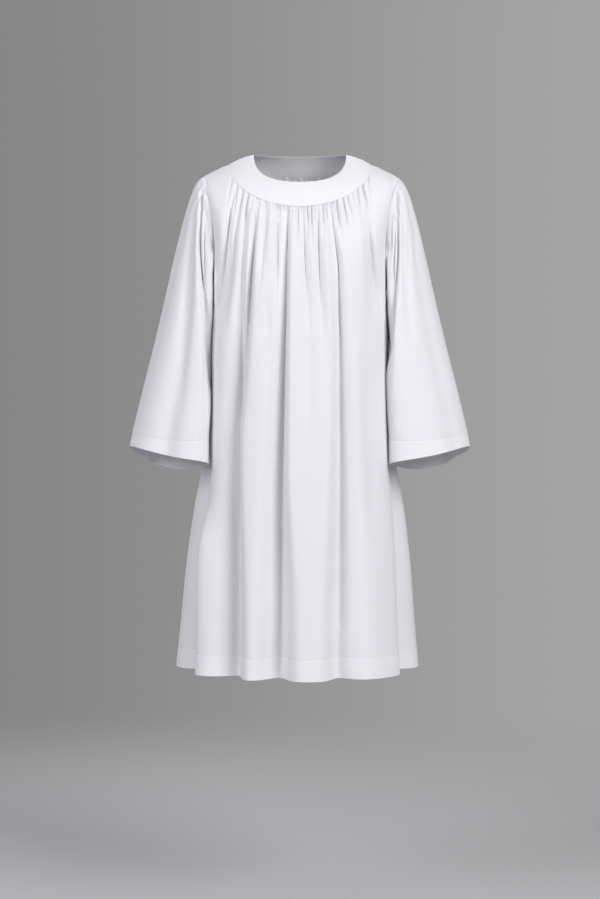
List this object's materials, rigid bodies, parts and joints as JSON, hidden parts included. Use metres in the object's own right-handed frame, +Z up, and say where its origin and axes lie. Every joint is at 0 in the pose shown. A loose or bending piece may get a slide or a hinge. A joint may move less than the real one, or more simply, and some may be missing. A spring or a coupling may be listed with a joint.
{
  "type": "surplice",
  "caption": "Plain white surplice as worn: round yoke, full body gathered into it, two wide set-in bell sleeves, turned-up hem and cuffs, open at neck, hem and cuffs.",
  "frame": {"origin": "on the garment's middle plane, midway between the two points where the neckline crosses the shoulders", "axes": "+X to the wearer's left, +Y to the back, +Z up, so the front faces -Y"},
  "size_m": [0.7342, 0.3734, 1.1188],
  "materials": {
    "yoke": "plain matte white cotton",
    "front": "plain matte white cotton",
    "back": "plain matte white cotton",
    "sleeve_left": "plain matte white cotton",
    "sleeve_right": "plain matte white cotton"
  },
  "bodies": {
    "root": {"yoke": "yoke", "front": "front", "back": "back", "sleeve_left": "sleeve_left", "sleeve_right": "sleeve_right"}
  },
  "joints": []
}
